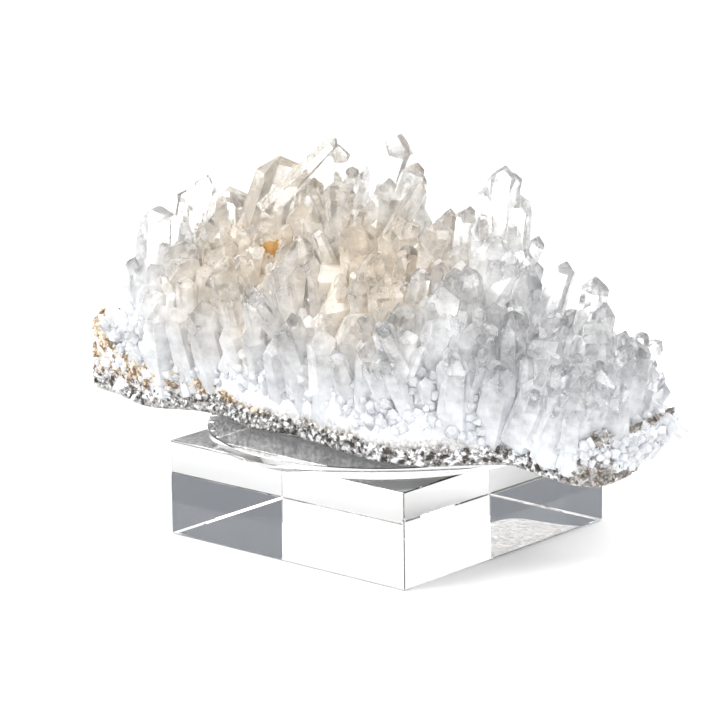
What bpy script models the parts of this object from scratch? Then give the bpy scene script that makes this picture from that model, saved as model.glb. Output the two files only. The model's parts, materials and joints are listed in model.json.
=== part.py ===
"""A cluster of clear and milky quartz crystals on its matrix, fixed on an acrylic disc and block.

Three pieces: the quartz cluster with its matrix, grown as one stone, the thin round acrylic
disc that the stone is fixed to, and the square acrylic block under the disc. The origin is the
middle of the block's underside, +Z is up, and the long side of the cluster runs along X.
"""

import math
import random

import bmesh
import bpy
from mathutils import Matrix, Vector, noise

MM = 0.001

# Acrylic block, a 3 inch square
BLOCK_SIDE = 76.2 * MM
BLOCK_HEIGHT = 24.1 * MM
BLOCK_EDGE = 0.5 * MM

# Acrylic disc, 3.5 inches across, with a slope under its rim
DISC_RADIUS = 44.45 * MM
DISC_THICKNESS = 3.2 * MM
DISC_SLOPE = 1.5 * MM
DISC_EDGE = 0.2 * MM
DISC_STEPS = 72

# Left between pieces that touch
GAP = 0.3 * MM
DISC_BASE = BLOCK_HEIGHT + GAP
STONE_BASE = DISC_BASE + DISC_THICKNESS + GAP

# Outline of the matrix in plan, in mm, round from the far left corner
MATRIX_OUTLINE = [
    (-80, -21), (-68, -25), (-54, -29), (-39, -24), (-20, -28), (-4, -28), (13, -31), (26, -32),
    (36, -29), (44, -21), (51, -15), (62, -17), (73, -19), (80, -16), (82, -6), (81, 6),
    (76, 16), (64, 24), (44, 29), (24, 32), (2, 31), (-20, 30), (-42, 27), (-60, 21),
    (-73, 10), (-80, -4),
]
OUTLINE_DETAIL = 2
# The crest and the ends run slantwise: a step along Y counts as this share of a step along X
SLANT = 0.8
# The underside draws in under the edge, most of all at the far right end, by slanted x
UNDERSIDE_SHARE = [(-90, 1.0), (-40, 0.98), (66, 0.97), (78, 0.85), (88, 0.64)]

# How thick the matrix is along the stone, as (x, thickness) in mm
MATRIX_THICKNESS = [(-82, 15), (-70, 10), (-48, 8), (-35, 6), (-15, 4), (40, 3), (66, 4), (80, 11)]
# How far the surface of the body wanders in mm, at its edge and at its crest, and lumps per mm
RIM_ROUGHNESS = 0.9
CREST_ROUGHNESS = 3.0
LUMP_PITCH = 0.09
ROUGH_SEED = 3

# Height of the tallest crystals above the ground along the stone, as (x, z) in mm
RIDGE = [
    (-86, 34), (-80, 48), (-73, 66), (-66, 72), (-50, 76), (-34, 84), (-18, 90), (4, 93), (14, 86),
    (24, 80), (34, 88), (40, 80), (46, 65), (52, 62), (62, 64), (74, 57), (82, 46), (88, 34),
]
# How that height falls off towards the front and the back, as (y, share)
CROWN = [(-36, 0.3), (-28, 0.62), (-18, 0.8), (-6, 0.95), (6, 1.0), (16, 0.86), (26, 0.6), (34, 0.3)]
# The grown-together body under the crystals: (share of the outline, share of the ridge height)
BODY_RINGS = [(0.99, 0.14), (0.9, 0.38), (0.68, 0.6), (0.14, 0.76)]

# Faces of a quartz point slope at this angle from its long axis
POINT_SLOPE = math.radians(38.2)
PRISM_TAPER = 0.03

# Crystals that make the outline, in mm and degrees:
# tip x, y, z, lean towards +X, lean towards +Y, width, length, bluntness 0 to 1, turn
LEADING_CRYSTALS = [
    # left end
    (-78, -16, 48, -6, -6, 7, 24, 0.4, 10),
    (-75, -13, 55, -8, -4, 7, 30, 0.3, 35),
    (-71, -11, 61, -2, 0, 8, 34, 0.5, 5),
    (-69, -8, 74, 2, 3, 10, 44, 0.8, 20),
    (-64, -3, 78, 8, 6, 5, 34, 0.3, 0),
    (-59, 0, 82, 12, 10, 7, 36, 0.2, 15),
    (-52, 0, 80, 4, 4, 9.5, 34, 0.7, 40),
    # back of the crest
    (-34, 0, 90, 12, 14, 15, 46, 0.6, 5),
    (-18, 3, 96, 38, 30, 4, 26, 0.1, 25),
    (-19, 5, 94, 2, 2, 7, 36, 0.2, 12),
    (-23, 0, 86, 4, 6, 6, 34, 0.3, 50),
    (-9, -3, 86, 0, 4, 7, 34, 0.5, 30),
    (-10, 6, 89, 8, 6, 6, 34, 0.4, 5),
    (4, 2, 100, 14, 12, 10, 52, 0.2, 22),
    (11, 0, 94, 15, 13, 5.5, 40, 0.2, 48),
    (15, -3, 90, 24, 20, 4, 26, 0.2, 10),
    (21, 0, 84, 8, 8, 6, 34, 0.3, 33),
    # right peak
    (29, -2, 86, 4, 4, 6, 36, 0.4, 12),
    (33, 0, 91, 6, 4, 6.5, 40, 0.5, 42),
    (36, 3, 96, 6, 6, 7.5, 46, 0.3, 8),
    (37, 5, 94, 4, 6, 7, 44, 0.5, 28),
    (40, 4, 89, 4, 5, 6, 40, 0.3, 55),
    # right shoulder and lobe
    (57, 0, 76, 14, 12, 5.5, 28, 0.1, 14),
    (64, 2, 73, 8, 6, 7, 32, 0.2, 38),
    (63, 4, 67, 10, 8, 7, 30, 0.5, 2),
    (73, -8, 66, 2, 0, 10, 34, 0.5, 20),
    (75, 2, 60, 14, 6, 8, 26, 0.6, 45),
    (77, 4, 57, 16, 6, 7, 26, 0.5, 10),
    (74, 9, 43, 16, 14, 8, 16, 0.5, 30),
    (81, -13, 55, 10, -10, 8, 26, 0.4, 0),
    (79, -4, 46, 20, -4, 8, 20, 0.5, 22),
    # front
    (-61, -20, 55, -4, -14, 8, 24, 0.5, 18),
    (-45, -22, 51, 0, -16, 9, 22, 0.6, 44),
    (-30, -24, 63, -34, -20, 4.5, 26, 0.1, 12),
    (-20, -20, 66, 2, -10, 7, 34, 0.4, 36),
    (-8, -26, 53, 0, -16, 7, 24, 0.5, 8),
    (2, -26, 53, 4, -16, 9, 24, 0.6, 26),
    (16, -26, 62, 2, -12, 10, 32, 0.5, 50),
    (20, -22, 72, 4, -6, 10, 42, 0.1, 16),
    (32, -26, 50, 6, -16, 8, 22, 0.4, 40),
    (29, -14, 66, 4, -8, 9, 30, 0.5, 4),
    (43, -16, 63, 4, -10, 8, 30, 0.5, 24),
    (52, -14, 66, 6, -8, 7, 34, 0.2, 46),
    (57, -12, 59, 2, -8, 10, 28, 0.9, 12),
    (67, -14, 53, 4, -12, 9, 24, 0.5, 34),
    (-36, -12, 69, -6, -6, 8, 32, 0.5, 0),
    (8, -10, 78, 2, -4, 8, 36, 0.4, 30),
    (-5, -10, 74, -2, -6, 8, 34, 0.5, 15),
]

# Crystals that fill the rest of the stone, standing on the body
FILL_SEED = 7
FILL_COUNT = 165
FILL_WIDTH = (6.5, 10.0)
FILL_RISE = (5.0, 14.0)
FILL_DEPTH = 12.0
FILL_SPACING = 7.4
FILL_REACH = 79.0
OUTWARD_LEAN = 26.0
CREST_LEAN = (8.0, 5.0)
LEAN_SCATTER = 7.0


def clear_scene():
    for thing in list(bpy.data.objects):
        bpy.data.objects.remove(thing, do_unlink=True)


def collection(name):
    made = bpy.data.collections.new(name)
    bpy.context.scene.collection.children.link(made)
    return made


def material(name, colour, roughness, transmission, ior):
    made = bpy.data.materials.new(name)
    made.use_nodes = True
    shader = made.node_tree.nodes["Principled BSDF"]
    shader.inputs["Base Color"].default_value = (*colour, 1.0)
    shader.inputs["Roughness"].default_value = roughness
    shader.inputs["Metallic"].default_value = 0.0
    shader.inputs["Transmission Weight"].default_value = transmission
    shader.inputs["IOR"].default_value = ior
    return made


def add_object(name, bm, home, finish=None):
    mesh = bpy.data.meshes.new(name)
    bm.to_mesh(mesh)
    bm.free()
    thing = bpy.data.objects.new(name, mesh)
    home.objects.link(thing)
    if finish:
        mesh.materials.append(finish)
    return thing


def between(table, at):
    """Reads a value from a short table of (place, value), straight between its entries."""
    if at <= table[0][0]:
        return table[0][1]
    for (low, first), (high, last) in zip(table, table[1:]):
        if at <= high:
            return first + (last - first) * (at - low) / (high - low)
    return table[-1][1]


def crest_height(x, y):
    """Height in mm that crystals reach over a point of the plan."""
    floor = STONE_BASE / MM
    return floor + (between(RIDGE, x + SLANT * y) - floor) * between(CROWN, y)


def matrix_outline():
    """The outline in mm, with points added between the chosen ones on a smooth curve."""
    count = len(MATRIX_OUTLINE)
    points = []
    for i in range(count):
        a, b, c, d = (Vector(MATRIX_OUTLINE[(i + k) % count]) for k in (-1, 0, 1, 2))
        for step in range(OUTLINE_DETAIL):
            t = step / OUTLINE_DETAIL
            points.append(0.5 * (2 * b + (c - a) * t + (2 * a - 5 * b + 4 * c - d) * t * t
                                 + (3 * b - a - 3 * c + d) * t ** 3))
    return points


def towards_middle(point, share):
    """Draws a point of the outline in towards the long middle line of the stone."""
    middle = Vector((max(-58.0, min(60.0, point.x * 0.82)), 1.0))
    return middle + (point - middle) * share


def rough(point, share):
    """A small shift of a point of the body, least at its edge, where the rings lie close together."""
    amount = RIM_ROUGHNESS + (CREST_ROUGHNESS - RIM_ROUGHNESS) * (1.0 - share)
    return noise.noise_vector(point * LUMP_PITCH) * amount


def body_height(place, share):
    """Height in mm of the grown-together body, from its edge (share 1) to its crest."""
    floor = STONE_BASE / MM
    crest = between(RIDGE, place.x + SLANT * max(place.y, 0.0))
    top = floor + (crest - floor) * between(sorted(BODY_RINGS), share)
    return max(top, floor + 1.15 * between(MATRIX_THICKNESS, place.x))


def add_matrix(home):
    """The matrix slab and the grown-together quartz over it, lofted through level rings."""
    outline = matrix_outline()
    floor = STONE_BASE / MM
    rings = []
    for level in (0.0, 0.4, 1.0):
        ring = []
        for point in outline:
            underside = between(UNDERSIDE_SHARE, point.x + SLANT * point.y)
            share = underside + (1.0 - underside) * level
            place = towards_middle(point, share).to_3d()
            place.z = floor + level * between(MATRIX_THICKNESS, point.x)
            if level:
                place += rough(place, 1.0)
            ring.append(place)
        rings.append(ring)
    for share, _ in BODY_RINGS:
        ring = []
        for point in outline:
            place = towards_middle(point, share).to_3d()
            place.z = body_height(place, share)
            place += rough(place, share)
            ring.append(place)
        rings.append(ring)
    bm = bmesh.new()
    levels = [[bm.verts.new(place * MM) for place in ring] for ring in rings]
    for low, high in zip(levels, levels[1:]):
        for i in range(len(low)):
            k = (i + 1) % len(low)
            bm.faces.new((low[i], low[k], high[k], high[i]))
    bm.faces.new(list(reversed(levels[0])))
    bm.faces.new(levels[-1])
    bmesh.ops.triangulate(bm, faces=[f for f in bm.faces if len(f.verts) > 3])
    bmesh.ops.recalc_face_normals(bm, faces=bm.faces[:])
    return add_object("matrix_body", bm, home)


def slice_off(bm, point, normal):
    """Cuts a convex solid with a plane, drops the outer side and closes the cut."""
    geometry = bm.verts[:] + bm.edges[:] + bm.faces[:]
    cut = bmesh.ops.bisect_plane(bm, geom=geometry, plane_co=point, plane_no=normal, clear_outer=True)
    edges = [item for item in cut["geom_cut"] if isinstance(item, bmesh.types.BMEdge)]
    if len(edges) > 2:
        bmesh.ops.contextual_create(bm, geom=edges)


def quartz_point(width, length, blunt, seed):
    """One crystal upright with its tip at the origin: a six-sided prism cut from a bar, and its point."""
    rng = random.Random(seed)
    bm = bmesh.new()
    size = Matrix.Diagonal((width * 2, width * 2, length + width, 1.0))
    bmesh.ops.create_cube(bm, size=1.0, matrix=Matrix.Translation((0, 0, -length / 2)) @ size)
    directions = [math.radians(60 * side) for side in range(6)]
    for around in directions:
        outward = Vector((math.cos(around), math.sin(around), PRISM_TAPER))
        slice_off(bm, outward * width * rng.uniform(0.38, 0.52), outward.normalized())
    tilt = math.cos(POINT_SLOPE)
    for side, around in enumerate(directions):
        normal = Vector((math.cos(around) * tilt, math.sin(around) * tilt, math.sin(POINT_SLOPE)))
        spare = rng.uniform(0.0, 0.15) if side % 2 else rng.uniform(0.12, 0.5)
        slice_off(bm, Vector((0, 0, spare * width)), normal)
    if blunt > 0.45:
        flat = Vector((rng.uniform(-0.5, 0.5), rng.uniform(-0.5, 0.5), 1.0)).normalized()
        top = max(vert.co.z for vert in bm.verts)
        slice_off(bm, Vector((0, 0, top - width * 0.35 * blunt)), flat)
    tip = max((vert.co for vert in bm.verts), key=lambda place: place.z).copy()
    bmesh.ops.translate(bm, verts=bm.verts[:], vec=-tip)
    slice_off(bm, Vector((0, 0, -length)), Vector((0, 0, -1)))
    return bm


def stand(bm, tip, lean_x, lean_y, turn):
    """Turns a crystal about its length, leans it and puts its tip in its place."""
    axis = Vector((math.tan(math.radians(lean_x)), math.tan(math.radians(lean_y)), 1.0)).normalized()
    swing = Vector((0, 0, 1)).rotation_difference(axis).to_matrix().to_4x4()
    spin = Matrix.Rotation(math.radians(turn), 4, "Z")
    bmesh.ops.transform(bm, matrix=Matrix.Translation(tip) @ swing @ spin, verts=bm.verts[:])


def fill_places(rng):
    """Chooses where the filling crystals stand on the body, none too near another."""
    outline = matrix_outline()
    tips = [Vector(row[:3]) for row in LEADING_CRYSTALS]
    chosen = []
    for _ in range(FILL_COUNT * 60):
        share = rng.uniform(0.1, 0.94)
        plan = towards_middle(rng.choice(outline), share)
        spot = Vector((plan.x, plan.y, body_height(plan, share)))
        if len(chosen) == FILL_COUNT:
            break
        if all((spot - other).length > FILL_SPACING for other in chosen + tips):
            chosen.append(spot)
    return chosen


def add_crystals(home):
    """All crystals, each a closed solid that reaches down into the body."""
    rng = random.Random(FILL_SEED)
    floor = STONE_BASE / MM
    made = []

    def add(tip, lean_x, lean_y, width, length, blunt, turn):
        length = min(length, tip[2] - floor - 0.4 * width)
        bm = quartz_point(width * MM, length * MM, blunt, len(made))
        stand(bm, Vector(tip) * MM, lean_x, lean_y, turn)
        made.append(add_object(f"crystal_{len(made):03d}", bm, home))

    for x, y, z, lean_x, lean_y, width, length, blunt, turn in LEADING_CRYSTALS:
        add((x, y, z), lean_x, lean_y, width, length, blunt, turn)
    for spot in fill_places(rng):
        edge_x = spot.x / 90.0
        edge_y = (spot.y - 1.0) / 31.0
        lean_x = CREST_LEAN[0] + OUTWARD_LEAN * edge_x * abs(edge_x) + rng.gauss(0, LEAN_SCATTER)
        lean_y = CREST_LEAN[1] + OUTWARD_LEAN * edge_y + rng.gauss(0, LEAN_SCATTER)
        rise = rng.uniform(*FILL_RISE)
        width = rng.uniform(*FILL_WIDTH)
        tip_x = spot.x + math.tan(math.radians(lean_x)) * rise
        tip_y = spot.y + math.tan(math.radians(lean_y)) * rise
        tip_x = max(-FILL_REACH, min(FILL_REACH - 0.5 * max(tip_y, 0.0), tip_x))
        tip_z = min(spot.z + rise, crest_height(spot.x, spot.y))
        add((tip_x, tip_y, tip_z), lean_x, lean_y, width, rise + FILL_DEPTH, rng.random() * 0.8,
            rng.uniform(0, 60))
    return made


def drop_pockets(mesh):
    """Keeps the outer skin alone, so that pockets sealed in between crystals become solid."""
    bm = bmesh.new()
    bm.from_mesh(mesh)
    for vert in bm.verts:
        vert.tag = False
    skins = []
    for start in bm.verts:
        if start.tag:
            continue
        start.tag = True
        skin = [start]
        for vert in skin:
            for edge in vert.link_edges:
                other = edge.other_vert(vert)
                if not other.tag:
                    other.tag = True
                    skin.append(other)
        skins.append(skin)
    skins.sort(key=len, reverse=True)
    for skin in skins[1:]:
        bmesh.ops.delete(bm, geom=skin, context="VERTS")
    bm.to_mesh(mesh)
    bm.free()


def join_stone(body, crystals, home, finish):
    """Unites the body and all crystals into one closed stone."""
    guides = collection("stone_guides")
    for crystal in crystals:
        for owner in list(crystal.users_collection):
            owner.objects.unlink(crystal)
        guides.objects.link(crystal)
        crystal.hide_render = True
        crystal.display_type = "WIRE"
    union = body.modifiers.new("grown together", "BOOLEAN")
    union.operation = "UNION"
    union.solver = "EXACT"
    union.operand_type = "COLLECTION"
    union.collection = guides
    bpy.context.view_layer.update()
    evaluated = body.evaluated_get(bpy.context.evaluated_depsgraph_get())
    mesh = bpy.data.meshes.new_from_object(evaluated)
    mesh.name = "quartz_cluster"
    drop_pockets(mesh)
    mesh.materials.clear()
    mesh.materials.append(finish)
    stone = bpy.data.objects.new("quartz_cluster", mesh)
    home.objects.link(stone)
    for thing in [body, *crystals]:
        bpy.data.objects.remove(thing, do_unlink=True)
    bpy.data.collections.remove(guides)
    return stone


def add_disc(home, finish):
    """The round disc, turned from its profile."""
    bottom, top = DISC_BASE, DISC_BASE + DISC_THICKNESS
    profile = [
        (0.0, top),
        (DISC_RADIUS - DISC_EDGE, top),
        (DISC_RADIUS, top - DISC_EDGE),
        (DISC_RADIUS, bottom + DISC_SLOPE),
        (DISC_RADIUS - DISC_SLOPE, bottom),
        (0.0, bottom),
    ]
    bm = bmesh.new()
    verts = [bm.verts.new((radius, 0.0, height)) for radius, height in profile]
    for first, second in zip(verts, verts[1:]):
        bm.edges.new((first, second))
    disc = add_object("acrylic_disc", bm, home, finish)
    screw = disc.modifiers.new("turned", "SCREW")
    screw.steps = DISC_STEPS
    screw.render_steps = DISC_STEPS
    screw.use_merge_vertices = True
    screw.merge_threshold = 0.00001
    return disc


def add_block(home, finish):
    """The square block with slightly broken edges."""
    bm = bmesh.new()
    size = Matrix.Diagonal((BLOCK_SIDE, BLOCK_SIDE, BLOCK_HEIGHT, 1.0))
    bmesh.ops.create_cube(bm, size=1.0, matrix=Matrix.Translation((0, 0, BLOCK_HEIGHT / 2)) @ size)
    block = add_object("acrylic_block", bm, home, finish)
    bevel = block.modifiers.new("broken edges", "BEVEL")
    bevel.width = BLOCK_EDGE
    bevel.segments = 2
    return block


def main():
    clear_scene()
    noise.seed_set(ROUGH_SEED)
    home = collection("quartz_crystal")
    workshop = collection("stone_workshop")
    quartz = material("quartz", (0.86, 0.84, 0.82), 0.08, 0.75, 1.544)
    disc_acrylic = material("disc_acrylic", (0.93, 0.94, 0.95), 0.03, 1.0, 1.49)
    block_acrylic = material("block_acrylic", (0.94, 0.95, 0.96), 0.02, 1.0, 1.49)
    body = add_matrix(workshop)
    crystals = add_crystals(workshop)
    join_stone(body, crystals, home, quartz)
    add_disc(home, disc_acrylic)
    add_block(home, block_acrylic)
    bpy.data.collections.remove(workshop)


main()
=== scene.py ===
import json
import math
import random

import bmesh
import bpy
from mathutils import Matrix, Vector, noise
from mathutils.bvhtree import BVHTree

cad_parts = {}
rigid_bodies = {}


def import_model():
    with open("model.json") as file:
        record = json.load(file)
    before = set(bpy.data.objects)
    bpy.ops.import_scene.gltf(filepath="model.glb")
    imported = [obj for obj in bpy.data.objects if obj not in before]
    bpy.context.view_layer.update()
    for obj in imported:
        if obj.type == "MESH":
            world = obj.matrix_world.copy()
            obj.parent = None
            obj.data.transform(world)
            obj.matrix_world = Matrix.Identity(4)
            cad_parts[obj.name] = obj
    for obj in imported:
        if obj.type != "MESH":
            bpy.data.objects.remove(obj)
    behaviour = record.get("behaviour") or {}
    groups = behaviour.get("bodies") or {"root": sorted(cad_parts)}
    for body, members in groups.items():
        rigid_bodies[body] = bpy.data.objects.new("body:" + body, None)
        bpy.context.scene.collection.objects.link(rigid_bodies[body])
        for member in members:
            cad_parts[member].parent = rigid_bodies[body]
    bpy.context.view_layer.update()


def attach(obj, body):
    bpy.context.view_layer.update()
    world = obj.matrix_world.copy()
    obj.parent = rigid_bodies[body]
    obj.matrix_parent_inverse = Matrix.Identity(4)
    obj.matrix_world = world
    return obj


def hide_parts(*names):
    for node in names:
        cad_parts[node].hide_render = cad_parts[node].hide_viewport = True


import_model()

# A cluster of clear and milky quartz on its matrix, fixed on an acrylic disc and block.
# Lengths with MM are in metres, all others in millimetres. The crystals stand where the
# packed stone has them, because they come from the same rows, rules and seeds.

MM = 0.001

# Acrylic stand
BLOCK_SIDE = 76.2
BLOCK_HEIGHT = 24.1
BLOCK_EDGE = 0.45
DISC_RADIUS = 44.45
DISC_THICKNESS = 3.2
DISC_SLOPE = 1.5
DISC_EDGE = 0.2
DISC_STEPS = 240
GAP = 0.3
DISC_BASE = BLOCK_HEIGHT + GAP
STONE_BASE = DISC_BASE + DISC_THICKNESS + GAP

# Outline of the matrix in plan, round from the far left corner
MATRIX_OUTLINE = [
    (-80, -21), (-68, -25), (-54, -29), (-39, -24), (-20, -28), (-4, -28), (13, -31), (26, -32),
    (36, -29), (44, -21), (51, -15), (62, -17), (73, -19), (80, -16), (82, -6), (81, 6),
    (76, 16), (64, 24), (44, 29), (24, 32), (2, 31), (-20, 30), (-42, 27), (-60, 21),
    (-73, 10), (-80, -4),
]
OUTLINE_DETAIL = 2
FINE_OUTLINE = 16
SLANT = 0.8
UNDERSIDE_SHARE = [(-90, 1.0), (-40, 0.98), (66, 0.97), (78, 0.85), (88, 0.64)]
MATRIX_THICKNESS = [(-82, 15), (-70, 10), (-48, 8), (-35, 6), (-15, 4), (40, 3), (66, 4), (80, 11)]

# Height of the tallest crystals along the stone, and how it falls off to the front and back
RIDGE = [
    (-86, 34), (-80, 48), (-73, 66), (-66, 72), (-50, 76), (-34, 84), (-18, 90), (4, 93), (14, 86),
    (24, 80), (34, 88), (40, 80), (46, 65), (52, 62), (62, 64), (74, 57), (82, 46), (88, 34),
]
CROWN = [(-36, 0.3), (-28, 0.62), (-18, 0.8), (-6, 0.95), (6, 1.0), (16, 0.86), (26, 0.6), (34, 0.3)]
BODY_RINGS = [(0.99, 0.14), (0.9, 0.38), (0.68, 0.6), (0.14, 0.76)]
RIM_ROUGHNESS = 0.9
CREST_ROUGHNESS = 3.0
LUMP_PITCH = 0.09
ROUGH_SEED = 3

POINT_SLOPE = math.radians(38.2)
PRISM_TAPER = 0.03

# Crystals that make the outline:
# tip x, y, z, lean towards +X, lean towards +Y, width, length, bluntness 0 to 1, turn
LEADING_CRYSTALS = [
    # left end
    (-78, -16, 48, -6, -6, 7, 24, 0.4, 10),
    (-75, -13, 55, -8, -4, 7, 30, 0.3, 35),
    (-71, -11, 61, -2, 0, 8, 34, 0.5, 5),
    (-69, -8, 74, 2, 3, 10, 44, 0.8, 20),
    (-64, -3, 78, 8, 6, 5, 34, 0.3, 0),
    (-59, 0, 82, 12, 10, 7, 36, 0.2, 15),
    (-52, 0, 80, 4, 4, 9.5, 34, 0.7, 40),
    # back of the crest
    (-34, 0, 90, 12, 14, 15, 46, 0.6, 5),
    (-18, 3, 96, 38, 30, 4, 26, 0.1, 25),
    (-19, 5, 94, 2, 2, 7, 36, 0.2, 12),
    (-23, 0, 86, 4, 6, 6, 34, 0.3, 50),
    (-9, -3, 86, 0, 4, 7, 34, 0.5, 30),
    (-10, 6, 89, 8, 6, 6, 34, 0.4, 5),
    (4, 2, 100, 14, 12, 10, 52, 0.2, 22),
    (11, 0, 94, 15, 13, 5.5, 40, 0.2, 48),
    (15, -3, 90, 24, 20, 4, 26, 0.2, 10),
    (21, 0, 84, 8, 8, 6, 34, 0.3, 33),
    # right peak
    (29, -2, 86, 4, 4, 6, 36, 0.4, 12),
    (33, 0, 91, 6, 4, 6.5, 40, 0.5, 42),
    (36, 3, 96, 6, 6, 7.5, 46, 0.3, 8),
    (37, 5, 94, 4, 6, 7, 44, 0.5, 28),
    (40, 4, 89, 4, 5, 6, 40, 0.3, 55),
    # right shoulder and lobe
    (57, 0, 76, 14, 12, 5.5, 28, 0.1, 14),
    (64, 2, 73, 8, 6, 7, 32, 0.2, 38),
    (63, 4, 67, 10, 8, 7, 30, 0.5, 2),
    (73, -8, 66, 2, 0, 10, 34, 0.5, 20),
    (75, 2, 60, 14, 6, 8, 26, 0.6, 45),
    (77, 4, 57, 16, 6, 7, 26, 0.5, 10),
    (74, 9, 43, 16, 14, 8, 16, 0.5, 30),
    (81, -13, 55, 10, -10, 8, 26, 0.4, 0),
    (79, -4, 46, 20, -4, 8, 20, 0.5, 22),
    # front
    (-61, -20, 55, -4, -14, 8, 24, 0.5, 18),
    (-45, -22, 51, 0, -16, 9, 22, 0.6, 44),
    (-30, -24, 63, -34, -20, 4.5, 26, 0.1, 12),
    (-20, -20, 66, 2, -10, 7, 34, 0.4, 36),
    (-8, -26, 53, 0, -16, 7, 24, 0.5, 8),
    (2, -26, 53, 4, -16, 9, 24, 0.6, 26),
    (16, -26, 62, 2, -12, 10, 32, 0.5, 50),
    (20, -22, 72, 4, -6, 10, 42, 0.1, 16),
    (32, -26, 50, 6, -16, 8, 22, 0.4, 40),
    (29, -14, 66, 4, -8, 9, 30, 0.5, 4),
    (43, -16, 63, 4, -10, 8, 30, 0.5, 24),
    (52, -14, 66, 6, -8, 7, 34, 0.2, 46),
    (57, -12, 59, 2, -8, 10, 28, 0.9, 12),
    (67, -14, 53, 4, -12, 9, 24, 0.5, 34),
    (-36, -12, 69, -6, -6, 8, 32, 0.5, 0),
    (8, -10, 78, 2, -4, 8, 36, 0.4, 30),
    (-5, -10, 74, -2, -6, 8, 34, 0.5, 15),
]

# Crystals that fill the stone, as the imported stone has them
FILL_SEED = 7
FILL_COUNT = 165
FILL_WIDTH = (6.5, 10.0)
FILL_RISE = (5.0, 14.0)
FILL_DEPTH = 12.0
FILL_SPACING = 7.4
FILL_REACH = 79.0
OUTWARD_LEAN = 26.0
CREST_LEAN = (8.0, 5.0)
LEAN_SCATTER = 7.0

# Slender crystals between them, and the smallest ones along the foot
SLENDER_SEED = 21
SLENDER_COUNT = 380
SLENDER_WIDTH = (2.2, 5.4)
SLENDER_RISE = (5.0, 15.0)
SLENDER_DEPTH = 6.0
SLENDER_SPACING = 3.4
SLENDER_SCATTER = 11.0
SLENDER_REACH = 75.0
LEAST_SHOWING = 0.3

DRUSE_SEED = 33
DRUSE_SHAPES = 24
DRUSE_LENGTH = 3.0
FIELD_DRUSE = 900
FLANK_DRUSE = 1500
DRUSE_WIDTH = (0.9, 2.8)

# Grains of the matrix
GRAIN_SEED = 41
GRAIN_SHAPES = 16
GRAIN_CORNERS = 9
GRAIN_COUNT = 5200
GRAIN_SIZE = (0.35, 1.15)

# Where the quartz is stained, and how light bends in the clear pieces
WARM_LEFT = (-34.0, -10.0, 72.0)
WARM_LEFT_REACH = 46.0
WARM_MIDDLE = (8.0, -14.0, 70.0)
WARM_MIDDLE_REACH = 38.0
RUST_SPOT = (-25.0, -14.0, 70.0)
RUST_REACH = 5.0
QUARTZ_IOR = 1.544
ACRYLIC_IOR = 1.49

# The photographed view
AZIMUTH = math.radians(41.35)
ELEVATION = math.radians(14.29)
ROLL = math.radians(-0.76)
DISTANCE = 1.050
FOCAL_PIXELS = 4223.0
PICTURE_PIXELS = 720
SENSOR = 36.0
AIM_RIGHT = 0.00685
AIM_UP = -0.0298

FLOOR_SINK = 0.2 * MM
FLOOR_SIDE = 6.0


def between(table, at):
    """Reads a value from a short table of (place, value), straight between its entries."""
    if at <= table[0][0]:
        return table[0][1]
    for (low, first), (high, last) in zip(table, table[1:]):
        if at <= high:
            return first + (last - first) * (at - low) / (high - low)
    return table[-1][1]


def crest_height(x, y):
    """Height that crystals reach over a point of the plan."""
    return STONE_BASE + (between(RIDGE, x + SLANT * y) - STONE_BASE) * between(CROWN, y)


def matrix_outline(detail):
    """The outline with points added between the chosen ones on a smooth curve."""
    count = len(MATRIX_OUTLINE)
    points = []
    for i in range(count):
        a, b, c, d = (Vector(MATRIX_OUTLINE[(i + k) % count]) for k in (-1, 0, 1, 2))
        for step in range(detail):
            t = step / detail
            points.append(0.5 * (2 * b + (c - a) * t + (2 * a - 5 * b + 4 * c - d) * t * t
                                 + (3 * b - a - 3 * c + d) * t ** 3))
    return points


def towards_middle(point, share):
    """Draws a point of the outline in towards the long middle line of the stone."""
    middle = Vector((max(-58.0, min(60.0, point.x * 0.82)), 1.0))
    return middle + (point - middle) * share


def rough(point, share):
    """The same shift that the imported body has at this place."""
    amount = RIM_ROUGHNESS + (CREST_ROUGHNESS - RIM_ROUGHNESS) * (1.0 - share)
    return noise.noise_vector(point * LUMP_PITCH) * amount


def body_height(place, share):
    """Height of the grown-together body, from its edge (share 1) to its crest."""
    crest = between(RIDGE, place.x + SLANT * max(place.y, 0.0))
    top = STONE_BASE + (crest - STONE_BASE) * between(sorted(BODY_RINGS), share)
    return max(top, STONE_BASE + 1.15 * between(MATRIX_THICKNESS, place.x))


def slice_off(bm, point, normal):
    """Cuts a convex solid with a plane, drops the outer side and closes the cut."""
    geometry = bm.verts[:] + bm.edges[:] + bm.faces[:]
    cut = bmesh.ops.bisect_plane(bm, geom=geometry, plane_co=point, plane_no=normal, clear_outer=True)
    edges = [item for item in cut["geom_cut"] if isinstance(item, bmesh.types.BMEdge)]
    if len(edges) > 2:
        bmesh.ops.contextual_create(bm, geom=edges)


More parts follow.
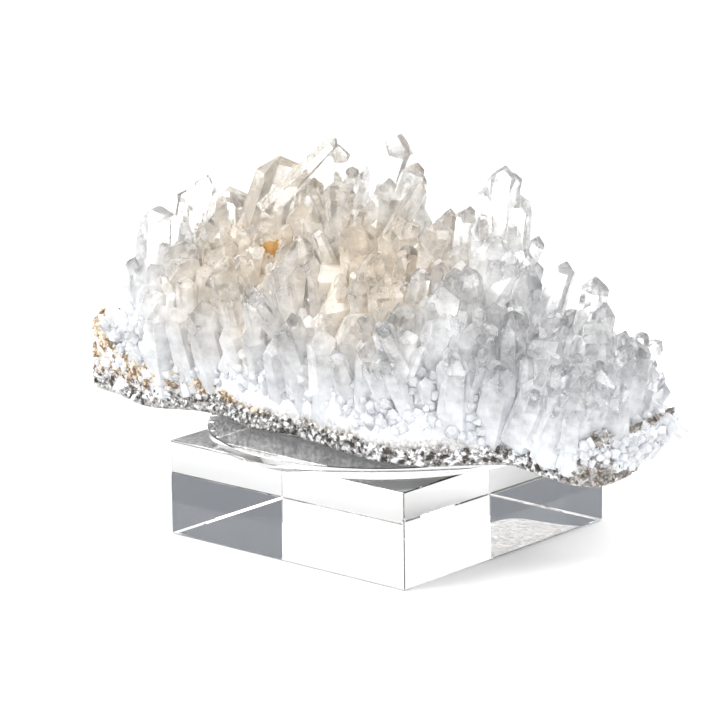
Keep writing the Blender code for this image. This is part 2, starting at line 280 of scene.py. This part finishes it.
def quartz_point(width, length, blunt, seed):
    """One crystal upright with its tip at the origin: a six-sided prism cut from a bar, and its point."""
    rng = random.Random(seed)
    bm = bmesh.new()
    size = Matrix.Diagonal((width * 2, width * 2, length + width, 1.0))
    bmesh.ops.create_cube(bm, size=1.0, matrix=Matrix.Translation((0, 0, -length / 2)) @ size)
    directions = [math.radians(60 * side) for side in range(6)]
    for around in directions:
        outward = Vector((math.cos(around), math.sin(around), PRISM_TAPER))
        slice_off(bm, outward * width * rng.uniform(0.38, 0.52), outward.normalized())
    tilt = math.cos(POINT_SLOPE)
    for side, around in enumerate(directions):
        normal = Vector((math.cos(around) * tilt, math.sin(around) * tilt, math.sin(POINT_SLOPE)))
        spare = rng.uniform(0.0, 0.15) if side % 2 else rng.uniform(0.12, 0.5)
        slice_off(bm, Vector((0, 0, spare * width)), normal)
    if blunt > 0.45:
        flat = Vector((rng.uniform(-0.5, 0.5), rng.uniform(-0.5, 0.5), 1.0)).normalized()
        top = max(vert.co.z for vert in bm.verts)
        slice_off(bm, Vector((0, 0, top - width * 0.35 * blunt)), flat)
    tip = max((vert.co for vert in bm.verts), key=lambda place: place.z).copy()
    bmesh.ops.translate(bm, verts=bm.verts[:], vec=-tip)
    slice_off(bm, Vector((0, 0, -length)), Vector((0, 0, -1)))
    return bm


def stand(bm, tip, lean_x, lean_y, turn):
    """Turns a crystal about its length, leans it and puts its tip in its place."""
    axis = Vector((math.tan(math.radians(lean_x)), math.tan(math.radians(lean_y)), 1.0)).normalized()
    swing = Vector((0, 0, 1)).rotation_difference(axis).to_matrix().to_4x4()
    spin = Matrix.Rotation(math.radians(turn), 4, "Z")
    bmesh.ops.transform(bm, matrix=Matrix.Translation(tip) @ swing @ spin, verts=bm.verts[:])


def places_on_body(rng, count, spacing, shares, taken):
    """Chooses spots on the body, none too near another."""
    outline = matrix_outline(OUTLINE_DETAIL)
    chosen = []
    for _ in range(count * 60):
        share = rng.uniform(*shares)
        plan = towards_middle(rng.choice(outline), share)
        spot = Vector((plan.x, plan.y, body_height(plan, share)))
        if len(chosen) == count:
            break
        if all((spot - other).length > spacing for other in chosen + taken):
            chosen.append(spot)
    return chosen


def crystal_mesh(tip, lean_x, lean_y, width, length, blunt, turn, seed):
    length = min(length, tip[2] - STONE_BASE - 0.4 * width)
    bm = quartz_point(width * MM, length * MM, blunt, seed)
    stand(bm, Vector(tip) * MM, lean_x, lean_y, turn)
    mesh = bpy.data.meshes.new("crystal")
    bm.to_mesh(mesh)
    bm.free()
    return mesh


def leaning_out(spot, rng, scatter):
    """How far a crystal at this spot leans, in degrees towards +X and +Y."""
    edge_x = spot.x / 90.0
    edge_y = (spot.y - 1.0) / 31.0
    lean_x = CREST_LEAN[0] + OUTWARD_LEAN * edge_x * abs(edge_x) + rng.gauss(0, scatter)
    lean_y = CREST_LEAN[1] + OUTWARD_LEAN * edge_y + rng.gauss(0, scatter)
    return lean_x, lean_y


def grow(spots, rng, width_range, rise_range, depth, scatter, first_seed, least=-math.inf):
    """One crystal at each spot, kept under the crest, if at least that share of it shows."""
    made = []
    for number, spot in enumerate(spots):
        lean_x, lean_y = leaning_out(spot, rng, scatter)
        rise = rng.uniform(*rise_range)
        width = rng.uniform(*width_range)
        tip_x = spot.x + math.tan(math.radians(lean_x)) * rise
        tip_y = spot.y + math.tan(math.radians(lean_y)) * rise
        tip_x = max(-FILL_REACH, min(FILL_REACH - 0.5 * max(tip_y, 0.0), tip_x))
        tip_z = min(spot.z + rise, crest_height(spot.x, spot.y))
        blunt = rng.random() * 0.8
        turn = rng.uniform(0, 60)
        if tip_z < spot.z + least * rise:
            continue
        made.append(crystal_mesh((tip_x, tip_y, tip_z), lean_x, lean_y, width, rise + depth, blunt,
                                 turn, first_seed + number))
    return made


def leading_tips():
    return [Vector(row[:3]) for row in LEADING_CRYSTALS]


def main_crystals():
    made = [crystal_mesh(row[:3], *row[3:], seed) for seed, row in enumerate(LEADING_CRYSTALS)]
    rng = random.Random(FILL_SEED)
    spots = places_on_body(rng, FILL_COUNT, FILL_SPACING, (0.1, 0.94), leading_tips())
    made += grow(spots, rng, FILL_WIDTH, FILL_RISE, FILL_DEPTH, LEAN_SCATTER, len(made))
    return made


def slender_crystals():
    rng = random.Random(SLENDER_SEED)
    spots = places_on_body(rng, SLENDER_COUNT, SLENDER_SPACING, (0.1, 0.95), [])
    spots = [spot for spot in spots if abs(spot.x) < SLENDER_REACH]
    return grow(spots, rng, SLENDER_WIDTH, SLENDER_RISE, SLENDER_DEPTH, SLENDER_SCATTER, 1000,
                LEAST_SHOWING)


def flank_spot(rng, outline, low, high):
    """A spot on the stone's steep side, between two shares of its height, and the way out there."""
    point = rng.choice(outline)
    level = rng.uniform(low, high)
    place = towards_middle(point, 1.0 - 0.1 * level).to_3d()
    top = body_height(place, 0.9) - STONE_BASE
    place.z = STONE_BASE + top * level
    place += rough(place, 1.0)
    outward = (point - towards_middle(point, 0.0)).normalized().to_3d()
    return place, outward


def druse_placements():
    """Where the smallest crystals stand: over the whole body, and thickly along its flank."""
    rng = random.Random(DRUSE_SEED)
    outline = matrix_outline(FINE_OUTLINE)
    chosen = []
    for number in range(FIELD_DRUSE + FLANK_DRUSE):
        width = rng.uniform(*DRUSE_WIDTH)
        if number < FIELD_DRUSE:
            share = rng.uniform(0.3, 0.94)
            plan = towards_middle(rng.choice(outline), share)
            place = Vector((plan.x, plan.y, body_height(plan, share)))
            way = Vector((rng.gauss(0, 0.4), rng.gauss(0, 0.4) - 0.1, 1.0))
        else:
            place, outward = flank_spot(rng, outline, 0.35, 1.0)
            way = outward + Vector((rng.gauss(0, 0.35), rng.gauss(0, 0.35), rng.uniform(0.25, 1.3)))
        place.z = max(place.z, STONE_BASE + DRUSE_LENGTH * width)
        tip = place + way.normalized() * width * rng.uniform(0.6, 1.6)
        turn = Vector((0, 0, 1)).rotation_difference(way.normalized()).to_matrix().to_4x4()
        spin = Matrix.Rotation(rng.uniform(0, math.tau), 4, "Z")
        chosen.append(Matrix.Translation(tip * MM) @ turn @ spin @ Matrix.Scale(width * MM, 4))
    return chosen


def grain_placements():
    """Where the grains of the matrix sit: on its rim, thickest at the two ends."""
    rng = random.Random(GRAIN_SEED)
    outline = matrix_outline(FINE_OUTLINE)
    chosen = []
    for _ in range(GRAIN_COUNT):
        point = rng.choice(outline)
        level = rng.random()
        underside = between(UNDERSIDE_SHARE, point.x + SLANT * point.y)
        share = underside + (1.0 - underside) * level
        place = towards_middle(point, share).to_3d()
        size = rng.uniform(*GRAIN_SIZE)
        lift = 1.25 * between(MATRIX_THICKNESS, point.x) * level
        place.z = STONE_BASE + max(size, lift)
        place += rough(place, 1.0)
        place.z = max(place.z, STONE_BASE + size)
        turn = Matrix.Rotation(rng.uniform(0, math.tau), 4, Vector((rng.gauss(0, 1), rng.gauss(0, 1), 1)))
        chosen.append(Matrix.Translation(place * MM) @ turn @ Matrix.Scale(size * MM, 4))
    return chosen


def shape_of(bm):
    """The points and faces of a small shape, to be copied many times."""
    bm.verts.index_update()
    shape = [vert.co.copy() for vert in bm.verts], [[v.index for v in face.verts] for face in bm.faces]
    bm.free()
    return shape


def druse_shapes():
    rng = random.Random(DRUSE_SEED)
    return [shape_of(quartz_point(1.0, DRUSE_LENGTH, rng.random() * 0.8, 9000 + number))
            for number in range(DRUSE_SHAPES)]


def grain_shapes():
    """Angular grains, each the hull of a few points."""
    rng = random.Random(GRAIN_SEED)
    shapes = []
    for _ in range(GRAIN_SHAPES):
        bm = bmesh.new()
        for _ in range(GRAIN_CORNERS):
            way = Vector((rng.gauss(0, 1), rng.gauss(0, 1), rng.gauss(0, 1))).normalized()
            bm.verts.new(way * rng.uniform(0.75, 1.0))
        hull = bmesh.ops.convex_hull(bm, input=bm.verts[:])
        inner = [item for item in hull["geom_interior"] if isinstance(item, bmesh.types.BMVert)]
        bmesh.ops.delete(bm, geom=inner, context="VERTS")
        bmesh.ops.recalc_face_normals(bm, faces=bm.faces[:])
        shapes.append(shape_of(bm))
    return shapes


def scattered(name, shapes, placements):
    """One mesh from many turned and scaled copies of a few small shapes."""
    points = []
    faces = []
    for number, matrix in enumerate(placements):
        corners, polygons = shapes[number % len(shapes)]
        start = len(points)
        points += [matrix @ corner for corner in corners]
        faces += [[start + i for i in polygon] for polygon in polygons]
    mesh = bpy.data.meshes.new(name)
    mesh.from_pydata(points, [], faces)
    return placed(name, mesh)


def placed(name, mesh):
    thing = bpy.data.objects.new(name, mesh)
    bpy.context.scene.collection.objects.link(thing)
    return thing


def united(name, meshes):
    """Unites closed meshes into one skin, as crystals that grew into each other."""
    guides = bpy.data.collections.new(name + "_guides")
    bpy.context.scene.collection.children.link(guides)
    for mesh in meshes[1:]:
        guides.objects.link(bpy.data.objects.new("guide", mesh))
    first = placed(name + "_first", meshes[0])
    union = first.modifiers.new("grown together", "BOOLEAN")
    union.operation = "UNION"
    union.solver = "EXACT"
    union.operand_type = "COLLECTION"
    union.collection = guides
    bpy.context.view_layer.update()
    skin = bpy.data.meshes.new_from_object(first.evaluated_get(bpy.context.evaluated_depsgraph_get()))
    for thing in [first, *guides.objects]:
        bpy.data.objects.remove(thing, do_unlink=True)
    bpy.data.collections.remove(guides)
    skin.name = name
    return placed(name, skin)


def body_skin(name, detail, levels, inset):
    """The body lofted through level rings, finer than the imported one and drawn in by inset."""
    rings = []
    for level in (0.0, 0.2, 0.4, 0.7, 1.0):
        ring = []
        for point in matrix_outline(detail):
            underside = between(UNDERSIDE_SHARE, point.x + SLANT * point.y)
            share = underside + (1.0 - underside) * level
            place = towards_middle(point, share).to_3d()
            place.z = STONE_BASE + level * between(MATRIX_THICKNESS, point.x)
            if level:
                place += rough(place, 1.0)
            ring.append(place)
        rings.append(ring)
    shares = sorted((share for share, _ in BODY_RINGS), reverse=True)
    for high, low in zip(shares, shares[1:]):
        for step in range(levels):
            share = high + (low - high) * step / levels
            ring = []
            for point in matrix_outline(detail):
                place = towards_middle(point, share).to_3d()
                place.z = body_height(place, share) - inset
                place += rough(place, share)
                ring.append(place)
            rings.append(ring)
    bm = bmesh.new()
    made = [[bm.verts.new(place * MM) for place in ring] for ring in rings]
    for low, high in zip(made, made[1:]):
        for i in range(len(low)):
            k = (i + 1) % len(low)
            bm.faces.new((low[i], low[k], high[k], high[i]))
    bm.faces.new(list(reversed(made[0])))
    bm.faces.new(made[-1])
    bmesh.ops.triangulate(bm, faces=[f for f in bm.faces if len(f.verts) > 4])
    bmesh.ops.recalc_face_normals(bm, faces=bm.faces[:])
    mesh = bpy.data.meshes.new(name)
    bm.to_mesh(mesh)
    bm.free()
    return placed(name, mesh)


def note_rise(crystals, root):
    """Keeps at each point of the crystals how far in mm it stands off the milky root."""
    tree = BVHTree.FromObject(root, bpy.context.evaluated_depsgraph_get())
    rise = crystals.data.attributes.new("rise", "FLOAT", "POINT")
    for vert, item in zip(crystals.data.vertices, rise.data):
        near, normal, _, gap = tree.find_nearest(vert.co)
        outside = (vert.co - near).dot(normal) > 0.0
        item.value = gap / MM if outside else 0.0


class Flow:
    """A socket of a shader tree that works in Python expressions."""

    def __init__(self, tree, socket):
        self.tree = tree
        self.socket = socket

    def _is_vector(self):
        return self.socket.type == "VECTOR"

    def _maths(self, operation, *others):
        vector = self._is_vector() or any(isinstance(o, Flow) and o._is_vector() for o in others)
        kind = "ShaderNodeVectorMath" if vector else "ShaderNodeMath"
        made = self.tree.nodes.new(kind)
        made.operation = operation
        for place, value in zip(made.inputs, (self, *others)):
            if isinstance(value, Flow):
                self.tree.links.new(value.socket, place)
            elif vector and not isinstance(value, (tuple, list)):
                place.default_value = (value, value, value)
            else:
                place.default_value = value
        return Flow(self.tree, made.outputs[0])

    def _swapped(self, operation, other):
        vector = self._is_vector()
        made = self.tree.nodes.new("ShaderNodeVectorMath" if vector else "ShaderNodeMath")
        made.operation = operation
        made.inputs[0].default_value = (other, other, other) if vector else other
        self.tree.links.new(self.socket, made.inputs[1])
        return Flow(self.tree, made.outputs[0])

    def __add__(self, other):
        return self._maths("ADD", other)

    def __sub__(self, other):
        return self._maths("SUBTRACT", other)

    def __mul__(self, other):
        return self._maths("MULTIPLY", other)

    def __truediv__(self, other):
        return self._maths("DIVIDE", other)

    def __radd__(self, other):
        return self._maths("ADD", other)

    def __rmul__(self, other):
        return self._maths("MULTIPLY", other)

    def __rsub__(self, other):
        return self._swapped("SUBTRACT", other)

    def at_most(self, other):
        return self._maths("MINIMUM", other)

    def at_least(self, other):
        return self._maths("MAXIMUM", other)

    def clipped(self):
        return self.at_least(0.0).at_most(1.0)

    def ramp(self, low, high):
        """0 below low, 1 above high, and straight between them."""
        return ((self - low) * (1.0 / (high - low))).clipped()


class Finish:
    """A material whose look is worked out with Flow expressions."""

    def __init__(self, name):
        self.material = bpy.data.materials.new(name)
        self.material.use_nodes = True
        self.tree = self.material.node_tree
        self.tree.nodes.clear()

    def node(self, kind, settings=None, values=None, output=0):
        """Adds a node: its settings first, then the values or links of its sockets."""
        made = self.tree.nodes.new(kind)
        for name, value in (settings or {}).items():
            setattr(made, name, value)
        for name, value in (values or {}).items():
            if isinstance(value, Flow):
                self.tree.links.new(value.socket, made.inputs[name])
            else:
                made.inputs[name].default_value = value
        return Flow(self.tree, made.outputs[output])

    def place(self):
        """Place on the object in mm."""
        return self.node("ShaderNodeTexCoord", output="Object") * (1.0 / MM)

    def grain(self, place, size, detail=2.0, roughness=0.5):
        """Noise from 0 to 1 whose lumps are about size mm."""
        return self.node("ShaderNodeTexNoise", None, {
            "Vector": place, "Scale": 1.0 / size, "Detail": detail, "Roughness": roughness})

    def near(self, place, centre, radius):
        """1 at a spot, falling to 0 at radius mm from it."""
        gap = self.node("ShaderNodeVectorMath", {"operation": "DISTANCE"}, {0: place, 1: centre}, "Value")
        return 1.0 - gap.ramp(0.0, radius)

    def blend(self, factor, first, second):
        """One colour into another."""
        return self.node("ShaderNodeMix", {"data_type": "RGBA"},
                         {"Factor": factor, 6: first, 7: second}, output=2)

    def bump(self, height, strength, distance):
        return self.node("ShaderNodeBump", None, {
            "Height": height, "Strength": strength, "Distance": distance * MM})

    def show(self, shader):
        out = self.tree.nodes.new("ShaderNodeOutputMaterial")
        self.tree.links.new(shader.socket, out.inputs["Surface"])
        return self.material


def rgb(red, green, blue):
    return (red, green, blue, 1.0)


def height_of(f, place):
    return f.node("ShaderNodeSeparateXYZ", None, {"Vector": place}, "Z")


def warmth(f, place):
    """1 in the beige stained quartz of the upper left and middle, 0 elsewhere."""
    left = f.near(place, WARM_LEFT, WARM_LEFT_REACH)
    middle = f.near(place, WARM_MIDDLE, WARM_MIDDLE_REACH)
    return (left.at_least(middle) + (f.grain(place, 9.0) - 0.5) * 0.8).ramp(0.15, 0.75)


def rust(f, place):
    """The small rust spot near the top left."""
    return (f.near(place, RUST_SPOT, RUST_REACH) + (f.grain(place, 1.6) - 0.5) * 1.4).ramp(0.45, 0.6)


def quartz_finish():
    """Clear at the tips, frosted and milky towards the root, stained warm at the upper left."""
    f = Finish("quartz")
    place = f.place()
    rise = f.node("ShaderNodeAttribute", {"attribute_name": "rise"}, output="Fac")
    veil = f.grain(place, 4.0, 5.0, 0.65)
    speck = f.grain(place, 0.9, 3.0, 0.7)
    warm = warmth(f, place)
    stained = rust(f, place)
    tint = f.blend(warm, rgb(0.99, 0.992, 0.996), rgb(0.985, 0.955, 0.91))
    tint = f.blend(stained, tint, rgb(0.70, 0.34, 0.06))
    low = 1.0 - height_of(f, place).ramp(38.0, 62.0)
    pale = f.blend(low, rgb(0.95, 0.945, 0.94), rgb(0.90, 0.93, 0.985))
    pale = f.blend(warm, pale, rgb(0.93, 0.85, 0.75))
    pale = f.blend(speck.ramp(0.64, 0.7) * warm, pale, rgb(0.42, 0.28, 0.18))
    pale = f.blend(stained, pale, rgb(0.66, 0.31, 0.05))
    grooves = f.bump(f.grain(place, 1.1, 4.0, 0.55), 0.14, 0.4)
    clear = f.node("ShaderNodeBsdfPrincipled", None, {
        "Base Color": tint, "Roughness": veil.ramp(0.45, 0.85) * 0.06, "IOR": QUARTZ_IOR,
        "Transmission Weight": 1.0, "Normal": grooves})
    milky = f.node("ShaderNodeBsdfPrincipled", None, {
        "Base Color": pale, "Roughness": 0.16, "IOR": QUARTZ_IOR, "Subsurface Weight": 0.5,
        "Subsurface Radius": (1.0, 1.0, 1.0), "Subsurface Scale": 2.0 * MM, "Normal": grooves})
    milk = 0.66 - rise.ramp(0.0, 9.0) * 0.56 + (veil - 0.5) * 0.8 + low * 0.12
    return f.show(f.node("ShaderNodeMixShader", None, {0: milk.at_least(0.04).at_most(0.86),
                                                       1: clear, 2: milky}))


def root_finish():
    """Milky quartz between the crystals, going into the grey matrix below."""
    f = Finish("root")
    place = f.place()
    milk = f.blend(warmth(f, place), rgb(0.92, 0.935, 0.965), rgb(0.88, 0.78, 0.66))
    milk = f.blend(rust(f, place), milk, rgb(0.66, 0.31, 0.05))
    grains = f.grain(place, 1.1, 4.0, 0.7)
    dark = f.blend(grains.ramp(0.36, 0.62), rgb(0.10, 0.09, 0.085), rgb(0.72, 0.70, 0.68))
    edge = height_of(f, place) + (f.grain(place, 7.0, 3.0) - 0.5) * 9.0
    base = f.blend(edge.ramp(32.0, 36.0), dark, milk)
    return f.show(f.node("ShaderNodeBsdfPrincipled", None, {
        "Base Color": base, "Roughness": 0.5 - grains * 0.2, "Subsurface Weight": 0.25,
        "Subsurface Radius": (1.0, 1.0, 1.0), "Subsurface Scale": 2.0 * MM,
        "Normal": f.bump(grains, 0.7, 0.7)}))


def grain_finish():
    """Grains of the matrix: near black, grey, white quartz, and tan to rust at the upper left."""
    f = Finish("matrix_grains")
    place = f.place()
    kind = f.grain(place, 1.5, 1.0)
    high = height_of(f, place)
    along = f.node("ShaderNodeSeparateXYZ", None, {"Vector": place}, "X")
    tone = f.blend(kind.ramp(0.40, 0.46), rgb(0.07, 0.062, 0.055), rgb(0.36, 0.35, 0.34))
    tone = f.blend(kind.ramp(0.52, 0.56), tone, rgb(0.88, 0.89, 0.91))
    tan = (high - 32.0 + (f.grain(place, 5.0) - 0.5) * 5.0).ramp(0.0, 2.0) * (1.0 - along.ramp(-10.0, 20.0))
    tan_tone = f.blend(kind.ramp(0.42, 0.6), rgb(0.28, 0.17, 0.08), rgb(0.68, 0.54, 0.36))
    tone = f.blend(tan * 0.8, tone, tan_tone)
    end = along.ramp(68.0, 78.0) * 0.7
    tone = f.blend(end, tone, rgb(0.16, 0.13, 0.10))
    return f.show(f.node("ShaderNodeBsdfPrincipled", None, {
        "Base Color": tone, "Roughness": 0.75 - kind.ramp(0.5, 0.6) * 0.55,
        "Normal": f.bump(f.grain(place, 0.4, 2.0), 0.4, 0.2)}))


def acrylic_finish(name, tint):
    """Polished clear acrylic with faint handling marks."""
    f = Finish(name)
    place = f.place()
    marks = f.grain(place, 14.0, 6.0, 0.7).ramp(0.55, 0.9)
    waves = f.bump(f.grain(place, 30.0, 1.0), 0.03, 0.3)
    return f.show(f.node("ShaderNodeBsdfPrincipled", None, {
        "Base Color": tint, "Roughness": marks * 0.02, "IOR": ACRYLIC_IOR,
        "Transmission Weight": 1.0, "Normal": waves}))


def floor_finish():
    f = Finish("floor")
    return f.show(f.node("ShaderNodeBsdfPrincipled", None, {
        "Base Color": rgb(0.93, 0.935, 0.945), "Roughness": 0.6}))


def finished(thing, finish):
    thing.data.materials.clear()
    thing.data.materials.append(finish)
    return thing


def add_disc():
    """The round disc, turned from its profile."""
    bottom, top = DISC_BASE, DISC_BASE + DISC_THICKNESS
    profile = [
        (0.0, top), (DISC_RADIUS - DISC_EDGE, top), (DISC_RADIUS, top - DISC_EDGE),
        (DISC_RADIUS, bottom + DISC_SLOPE), (DISC_RADIUS - DISC_SLOPE, bottom), (0.0, bottom),
    ]
    bm = bmesh.new()
    verts = [bm.verts.new((radius * MM, 0.0, height * MM)) for radius, height in profile]
    edges = [bm.edges.new(pair) for pair in zip(verts, verts[1:])]
    bmesh.ops.spin(bm, geom=verts + edges, cent=(0, 0, 0), axis=(0, 0, 1), angle=math.tau,
                   steps=DISC_STEPS, use_merge=True)
    bmesh.ops.remove_doubles(bm, verts=bm.verts[:], dist=0.00001)
    bmesh.ops.recalc_face_normals(bm, faces=bm.faces[:])
    mesh = bpy.data.meshes.new("disc")
    bm.to_mesh(mesh)
    bm.free()
    mesh.shade_smooth()
    mesh.set_sharp_from_angle(angle=math.radians(25))
    return placed("disc", mesh)


def add_block():
    """The square block with slightly broken edges."""
    bm = bmesh.new()
    size = Matrix.Diagonal((BLOCK_SIDE * MM, BLOCK_SIDE * MM, BLOCK_HEIGHT * MM, 1.0))
    bmesh.ops.create_cube(bm, size=1.0, matrix=Matrix.Translation((0, 0, BLOCK_HEIGHT * MM / 2)) @ size)
    bmesh.ops.bevel(bm, geom=bm.edges[:], offset=BLOCK_EDGE * MM, segments=3, profile=0.5,
                    affect="EDGES")
    mesh = bpy.data.meshes.new("block")
    bm.to_mesh(mesh)
    bm.free()
    return placed("block", mesh)


def add_floor():
    bm = bmesh.new()
    bmesh.ops.create_grid(bm, x_segments=1, y_segments=1, size=FLOOR_SIDE / 2)
    mesh = bpy.data.meshes.new("floor")
    bm.to_mesh(mesh)
    bm.free()
    floor = placed("floor", mesh)
    floor.location.z = -FLOOR_SINK
    return floor


def view_axes():
    """Right, up and back of the photographed view."""
    back = Vector((math.sin(AZIMUTH) * math.cos(ELEVATION), -math.cos(AZIMUTH) * math.cos(ELEVATION),
                   math.sin(ELEVATION)))
    level = Vector((math.cos(AZIMUTH), math.sin(AZIMUTH), 0.0))
    upright = back.cross(level)
    right = math.cos(ROLL) * level + math.sin(ROLL) * upright
    up = math.cos(ROLL) * upright - math.sin(ROLL) * level
    return right, up, back


def add_camera():
    right, up, back = view_axes()
    aim = Vector((0, 0, BLOCK_HEIGHT * MM / 2)) - right * AIM_RIGHT - up * AIM_UP
    lens = bpy.data.cameras.new("camera")
    lens.sensor_width = SENSOR
    lens.lens = FOCAL_PIXELS / PICTURE_PIXELS * SENSOR
    lens.clip_start = 0.01
    camera = bpy.data.objects.new("camera", lens)
    camera.matrix_world = Matrix.Translation(aim + back * DISTANCE) @ Matrix(
        (right, up, back)).transposed().to_4x4()
    bpy.context.scene.collection.objects.link(camera)
    bpy.context.scene.camera = camera


def soft_light(name, place, size, power, tint=(1.0, 1.0, 1.0)):
    lamp = bpy.data.lights.new(name, "AREA")
    lamp.shape = "DISK"
    lamp.size = size
    lamp.energy = power
    lamp.color = tint
    thing = bpy.data.objects.new(name, lamp)
    thing.location = place
    thing.rotation_euler = (-Vector(place)).to_track_quat("-Z", "Y").to_euler()
    bpy.context.scene.collection.objects.link(thing)


def light_studio():
    """A room that is white above and behind the stone, and blue grey low down at its sides."""
    world = bpy.data.worlds.new("studio")
    world.use_nodes = True
    bpy.context.scene.world = world
    tree = world.node_tree
    ground = tree.nodes["Background"]
    away = -view_axes()[2]
    level = Vector((away.x, away.y, 0.0)).normalized()
    way = Flow(tree, tree.nodes.new("ShaderNodeTexCoord").outputs["Generated"])
    split = tree.nodes.new("ShaderNodeSeparateXYZ")
    tree.links.new(way.socket, split.inputs["Vector"])
    behind = Flow(tree, split.outputs["X"]) * level.x + Flow(tree, split.outputs["Y"]) * level.y
    front = (0.0 - behind).ramp(0.35, 0.75) * 0.5
    white = behind.ramp(0.4, 0.6).at_least(Flow(tree, split.outputs["Z"]).ramp(0.45, 0.7)).at_least(front)
    mix = tree.nodes.new("ShaderNodeMix")
    mix.data_type = "RGBA"
    tree.links.new(white.socket, mix.inputs["Factor"])
    mix.inputs[6].default_value = rgb(0.17, 0.185, 0.21)
    mix.inputs[7].default_value = rgb(1.0, 0.99, 0.97)
    tree.links.new(mix.outputs[2], ground.inputs["Color"])
    ground.inputs["Strength"].default_value = 1.1
    soft_light("key", (-0.5, -0.8, 1.1), 0.8, 17.0)
    soft_light("fill", (0.9, -0.5, 0.7), 0.7, 6.0)
    soft_light("rim", (0.2, 0.9, 0.9), 0.8, 7.0)


def main():
    noise.seed_set(ROUGH_SEED)
    add_camera()
    quartz = quartz_finish()
    root = finished(body_skin("milky_root", FINE_OUTLINE, 8, 0.6), root_finish())
    root.data.shade_smooth()
    crystals = finished(united("crystals", main_crystals() + slender_crystals()), quartz)
    druse = finished(scattered("druse", druse_shapes(), druse_placements()), quartz)
    grains = finished(scattered("matrix_grains", grain_shapes(), grain_placements()), grain_finish())
    note_rise(crystals, root)
    note_rise(druse, root)
    disc = finished(add_disc(), acrylic_finish("disc_acrylic", rgb(0.985, 0.99, 0.992)))
    block = finished(add_block(), acrylic_finish("block_acrylic", rgb(0.99, 0.992, 0.988)))
    for piece, slot in ((crystals, "quartz"), (druse, "quartz"), (root, "quartz"), (grains, "quartz"),
                        (disc, "acrylic_disc"), (block, "acrylic_block")):
        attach(piece, "root")
    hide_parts("quartz_cluster")
    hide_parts("acrylic_disc")
    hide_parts("acrylic_block")
    floor = finished(add_floor(), floor_finish())
    light_studio()
    scene = bpy.context.scene
    scene.view_settings.view_transform = "Standard"
    scene.cycles.max_bounces = 28
    scene.cycles.transmission_bounces = 28
    scene.cycles.glossy_bounces = 12
    scene.cycles.diffuse_bounces = 4


main()
